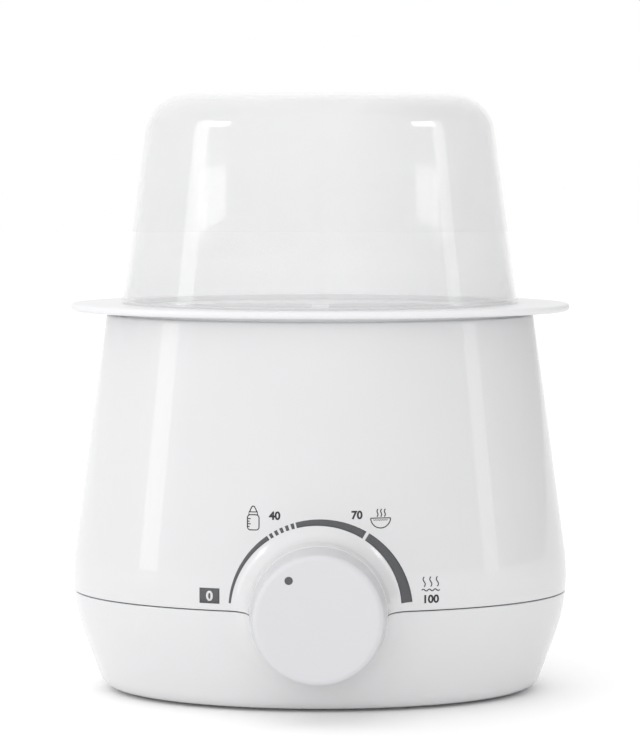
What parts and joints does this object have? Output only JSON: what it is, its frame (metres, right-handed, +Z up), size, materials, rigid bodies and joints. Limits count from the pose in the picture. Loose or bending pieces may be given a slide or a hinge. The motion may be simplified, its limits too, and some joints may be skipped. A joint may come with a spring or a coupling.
{
  "type": "bottle warmer",
  "caption": "Oval twin bottle warmer with a heated water tank, lift-out tray with round wells, frosted lid and a front control knob.",
  "frame": {"origin": "on the table under the middle of the overall box; the housing's own axis stands 13 mm behind it, because the knob reaches forward", "axes": "+Z up, +X to the right seen from the front, the knob faces -Y"},
  "size_m": [0.241, 0.173, 0.289],
  "materials": {
    "lid_plastic": "frosted translucent plastic",
    "white_plastic": "gloss white",
    "tray_plastic": "satin white",
    "knob_plastic": "gloss white",
    "pointer_ink": "dark grey",
    "tank_plastic": "natural",
    "silicone": "matt red silicone",
    "black_rubber": "matt",
    "steel": "brushed",
    "plated_steel": "zinc plated",
    "element_sheath": "oxidised",
    "copper": "drawn copper",
    "phenolic": "cream",
    "lead_jacket": "silicone rubber jacket"
  },
  "bodies": {
    "base": {"upper_housing": "white_plastic", "lower_housing": "white_plastic", "water_tank": "tank_plastic", "tank_gasket": "silicone", "heater_plate": "steel", "heater_ring": "plated_steel", "heater_screws": "plated_steel", "heating_element": "element_sheath", "thermal_fuse": "phenolic", "sensor_bulb": "copper", "capillary_tube": "copper", "thermostat_body": "phenolic", "thermostat_bracket": "plated_steel", "thermostat_nut": "plated_steel", "bracket_screws": "plated_steel", "shaft_seal": "black_rubber", "terminal_block": "phenolic", "terminal_screws": "plated_steel", "heater_leads": "lead_jacket", "cord_gland": "black_rubber", "rubber_feet": "black_rubber", "housing_screws": "plated_steel"},
    "control_knob": {"thermostat_shaft": "steel", "knob": "knob_plastic", "knob_pointer": "pointer_ink", "knob_clip": "plated_steel"},
    "tray": {"bottle_tray": "tray_plastic"},
    "lid": {"lid": "lid_plastic"}
  },
  "joints": [
    {"name": "knob_turn", "type": "hinge", "parent": "base", "child": "control_knob", "pos_m": [0, -0.0865, 0.05], "axis": [0, -1, 0], "range_deg": [-126, 54]},
    {"name": "tray_lift", "type": "slide", "parent": "base", "child": "tray", "axis": [0, 0, 1], "range_m": [0, 0.13]},
    {"name": "lid_lift", "type": "slide", "parent": "tray", "child": "lid", "axis": [0, 0, 1], "range_m": [0, 0.12]}
  ]
}
